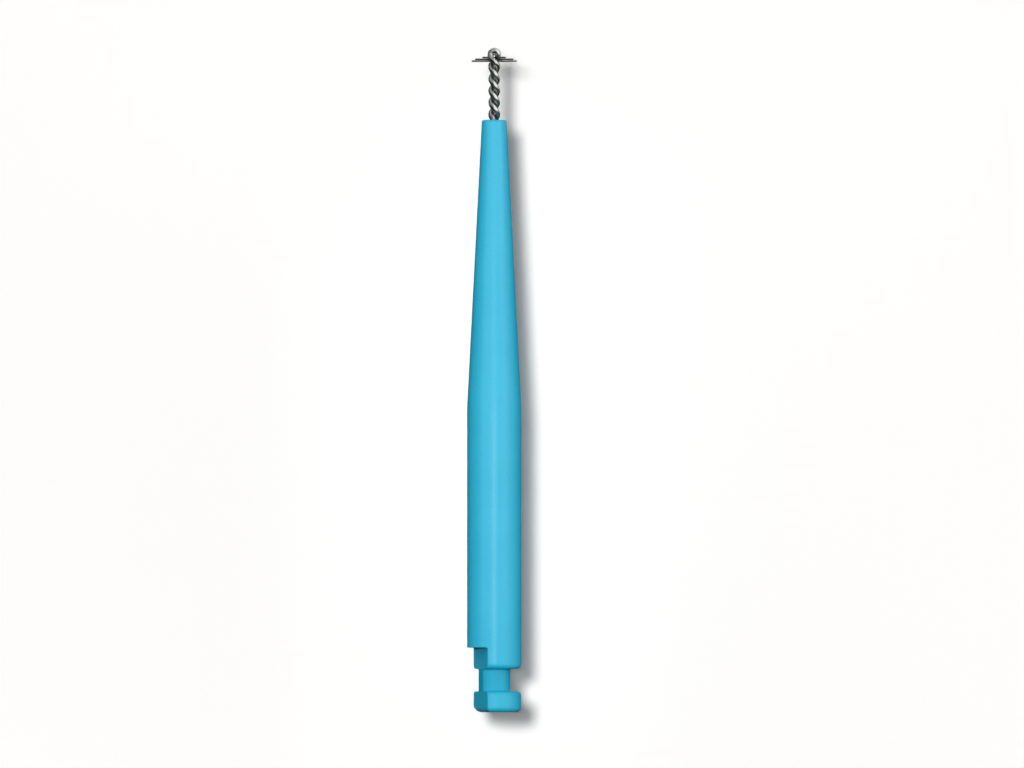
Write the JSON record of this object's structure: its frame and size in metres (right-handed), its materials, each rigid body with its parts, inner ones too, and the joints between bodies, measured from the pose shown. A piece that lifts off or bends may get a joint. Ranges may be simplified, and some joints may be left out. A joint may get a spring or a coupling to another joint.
{
  "type": "rotary interdental brush",
  "caption": "Rotary interdental brush: stiff filaments clamped in a twisted wire hairpin, moulded into a tapered plastic shank with a latch-type end for a handpiece.",
  "frame": {"origin": "centre of the latch end's bottom face", "axes": "+Z along the shank from the latch end towards the brush head; the drive flat faces -X, turned 18 degrees towards -Y"},
  "size_m": [0.0024, 0.0024, 0.0288],
  "materials": {
    "shank_plastic": "moulded plastic, light blue, semi-gloss",
    "wire_steel": "drawn stainless steel wire, bright with dark grooves",
    "bristle_steel": "fine drawn steel wire, dark grey"
  },
  "bodies": {
    "root": {"shank": "shank_plastic", "twisted_wire": "wire_steel", "bristle_1": "bristle_steel", "bristle_2": "bristle_steel", "bristle_3": "bristle_steel", "bristle_4": "bristle_steel"}
  },
  "joints": []
}
